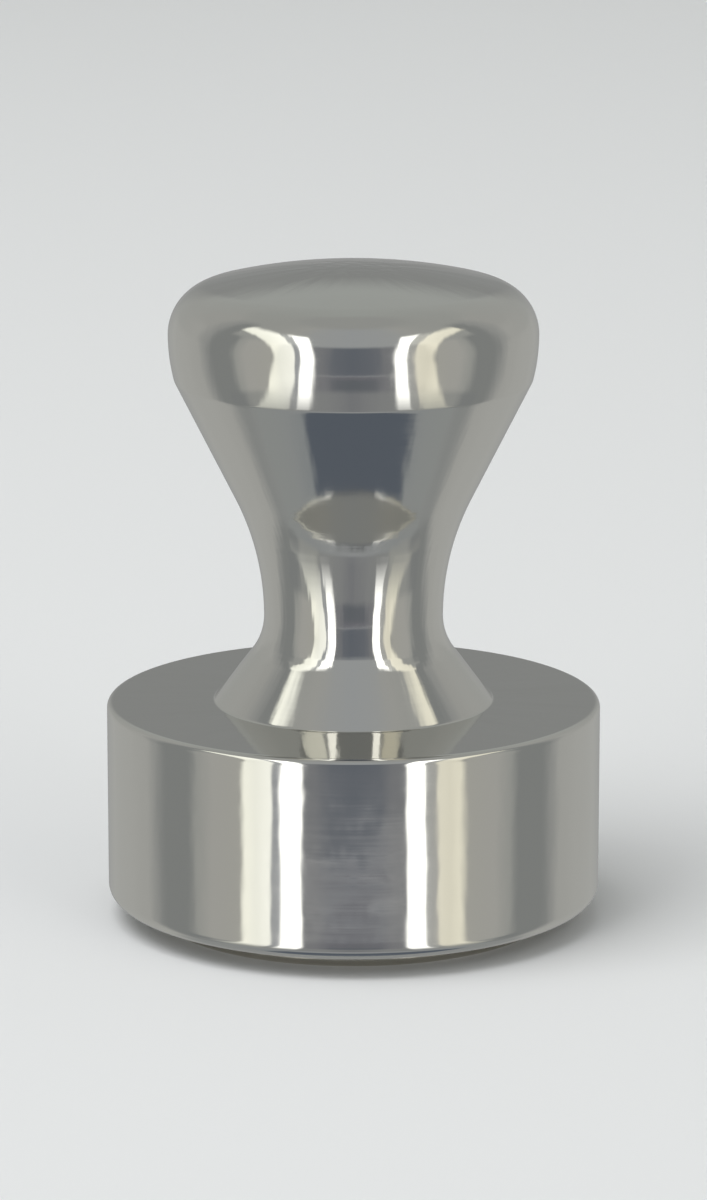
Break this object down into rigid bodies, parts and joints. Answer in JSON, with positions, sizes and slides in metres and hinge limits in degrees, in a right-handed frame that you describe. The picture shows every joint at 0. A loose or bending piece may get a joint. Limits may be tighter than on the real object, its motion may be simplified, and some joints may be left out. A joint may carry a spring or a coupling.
{
  "type": "magnetic push pin",
  "caption": "Polished turned-steel magnetic push pin: wide round foot with a disc magnet set in its underside, narrow waist and bulbous head to grip.",
  "frame": {"origin": "centre of the magnet's lower face, which is what the pin stands on and what meets the board", "axes": "+Z along the knob's axis from the magnet to the crown; X and Y are free, because the pin is round about Z"},
  "size_m": [0.012, 0.012, 0.016],
  "materials": {
    "knob_plate": "mirror polished nickel plate on turned steel",
    "magnet_plate": "bright nickel plate on a sintered magnet, slightly softer than the knob"
  },
  "bodies": {
    "root": {"knob": "knob_plate", "magnet": "magnet_plate"}
  },
  "joints": []
}
